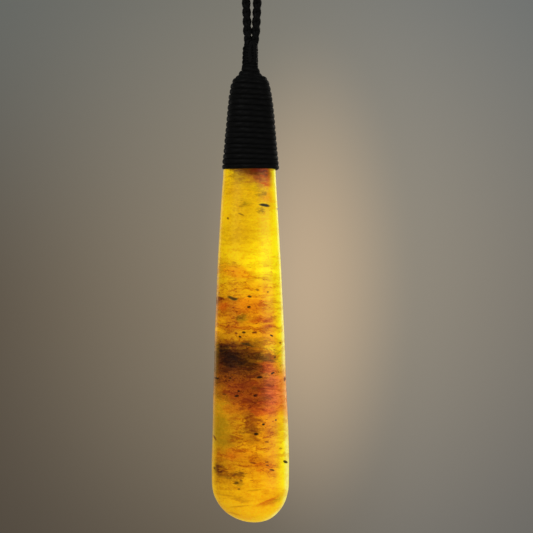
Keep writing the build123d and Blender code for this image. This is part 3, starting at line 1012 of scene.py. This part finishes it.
def stone_material():
    """Translucent honey stone, darker on its left, with amber bands and dark inclusions; its colour is also
    emitted as a painted glow in place of light shining through it from behind.
    """
    material, m = new_material("honey_stone_painted_glow")
    at = StonePlaces(m)
    mottle = m.noise_node(m.vector("MULTIPLY", at.warped, (0.35, 0.35, 1.0)), 0.9, 5.0, 0.7).outputs["Fac"]
    mottle = m.spread(mottle, 0.32, 0.66, 0.55, 1.25)
    grain = m.noise_node(at.plain, 2.2, 5.0, 0.65).outputs["Fac"]
    colour = lay(m, plain_tones(m, at), CLOUDS, at.warped, CLOUD_DEPTH, mottle)
    colour = crumbled(m, at, threaded(m, at, banded(m, at, colour)))
    shading = m.mix(m.spread(grain, 0.25, 0.75), (0.34, 0.31, 0.28), (0.64, 0.64, 0.6))
    colour = painted_rim_glow(m, at, m.mix(0.5, colour, shading, "SOFT_LIGHT"))
    colour = lay(m, colour, INCLUSIONS, at.swayed, FRONT_DEPTH)
    colour = lay(m, colour, back_inclusions(), at.plain, BACK_DEPTH)
    # The colour is also emitted at 0.42: a painted glow in place of light shining through the stone from
    # behind.
    m.shade({
        "Base Color": colour,
        "Emission Color": colour,
        "Emission Strength": 0.42,
        "Subsurface Weight": 0.3,
        "Subsurface Radius": (1.0, 0.6, 0.12),
        "Subsurface Scale": 0.002,
        "Specular IOR Level": 0.12,
        "Roughness": m.spread(grain, 0.3, 0.7, 0.24, 0.38),
    })
    m.bump(at.slow.outputs["Fac"], 0.2, 0.0001)
    return material


marking = mark_group()
honey_stone_painted_glow = stone_material()
thread_black = thread_material("waxed_thread", 2.2, 0.00005)
plait_black = thread_material("waxed_plait", 1.5, 0.00004)
stone.data.materials.append(honey_stone_painted_glow)
wrapped.data.materials.append(thread_black)
stem_piece.data.materials.append(thread_black)
cord.data.materials.append(plait_black)
for node_name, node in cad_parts.items():
    node.data.materials.clear()
    node.data.materials.append(honey_stone_painted_glow if node_name == "stone_drop" else plait_black)

# Floor
FLOOR_COLOUR = (0.8, 0.78, 0.74)
FLOOR_SIDE = 14    # metres from the middle to each side and to the front
FLOOR_BACK = 4.2
FLOOR_Z = -1.2
floor_mesh = bpy.data.meshes.new("floor")
floor_corners = [
    (-FLOOR_SIDE, -FLOOR_SIDE, 0), (FLOOR_SIDE, -FLOOR_SIDE, 0),
    (FLOOR_SIDE, FLOOR_BACK, 0), (-FLOOR_SIDE, FLOOR_BACK, 0),
]
floor_mesh.from_pydata(floor_corners, [], [(0, 1, 2, 3)])
floor = bpy.data.objects.new("floor", floor_mesh)
floor.location = (0, 0, FLOOR_Z)
bpy.context.scene.collection.objects.link(floor)
pale_floor, floor_nodes = new_material("pale_floor")
floor_nodes.shade({
    "Base Color": FLOOR_COLOUR,
    "Emission Color": FLOOR_COLOUR,
    "Emission Strength": 0.15,
    "Roughness": 0.8,
})
floor_mesh.materials.append(pale_floor)

# Backdrop
# Oval glows on the wall: height of the middle, half the width and half the height as slopes
# from the camera, then strength and colour. Both stand a little to the right of the middle.
GLOW_SIDEWAYS = 0.024
GLOWS = [
    (0.0, 0.25, 0.27, 0.2, srgb(255, 235, 200)),
    (-0.01, 0.065, 0.155, 0.9, srgb(194, 171, 142)),
]


def backdrop():
    """The photo's blurred wall ahead, with its glows, and plain greys beside and behind it."""
    world = bpy.data.worlds.new("studio")
    world.use_nodes = True
    m = Nodes(world.node_tree)
    right, ahead, up = m.split(m.add("ShaderNodeTexCoord").outputs["Generated"])
    sideways = m.math("DIVIDE", right, m.math("MAXIMUM", ahead, 0.05))
    height = m.math("DIVIDE", up, m.math("MAXIMUM", ahead, 0.05))
    lower = m.spread(height, 0.17, -0.04)
    wall_left = m.mix(lower, srgb(102, 104, 100), srgb(82, 74, 64))
    wall_right = m.mix(lower, srgb(106, 110, 110), srgb(102, 101, 98))
    wall = m.mix(m.spread(sideways, -0.04, 0.1), wall_left, wall_right)
    for middle, half_width, half_height, strength, colour in GLOWS:
        across = m.math("DIVIDE", m.math("SUBTRACT", sideways, GLOW_SIDEWAYS), half_width)
        rise = m.math("DIVIDE", m.math("SUBTRACT", height, middle), half_height)
        apart = m.math("SQRT", m.math("ADD", m.times(across, across), m.times(rise, rise)))
        wall = m.mix(m.spread(apart, 0.0, 1.0, strength, 0.0), wall, colour)
    around = m.mix(m.spread(up, -0.12, 0.3), srgb(130, 128, 124), srgb(104, 108, 107))
    wall = m.mix(m.spread(ahead, 0.6, 0.93), around, wall)
    m.feed(world.node_tree.nodes["Background"].inputs["Color"], wall)
    return world


bpy.context.scene.world = backdrop()

# Lights
PENDANT = (0.0, 0.0, -0.36)  # what the lights are turned to, metres


def soft_light(name, place, size, power, tint):
    """A round area light turned to the pendant."""
    data = bpy.data.lights.new(name, "AREA")
    data.shape = "DISK"
    data.size = size
    data.energy = power
    data.color = tint
    lamp = bpy.data.objects.new(name, data)
    lamp.location = place
    x, y, z = np.array(PENDANT) - np.array(place)
    lamp.rotation_euler = (math.pi / 2 + math.atan2(z, math.hypot(x, y)), 0, math.atan2(y, x) - math.pi / 2)
    bpy.context.scene.collection.objects.link(lamp)


soft_light("key", (-0.7, -1.0, 0.3), size=0.8, power=9.0, tint=(1.0, 0.98, 0.95))
soft_light("fill", (0.9, -0.9, -0.2), size=0.9, power=5.0, tint=(1.0, 0.97, 0.93))
soft_light("back_right", (0.45, 0.55, -0.25), size=0.35, power=0.8, tint=(1.0, 0.93, 0.82))
soft_light("back_left", (-0.55, 0.6, -0.3), size=0.35, power=0.4, tint=(1.0, 0.94, 0.85))
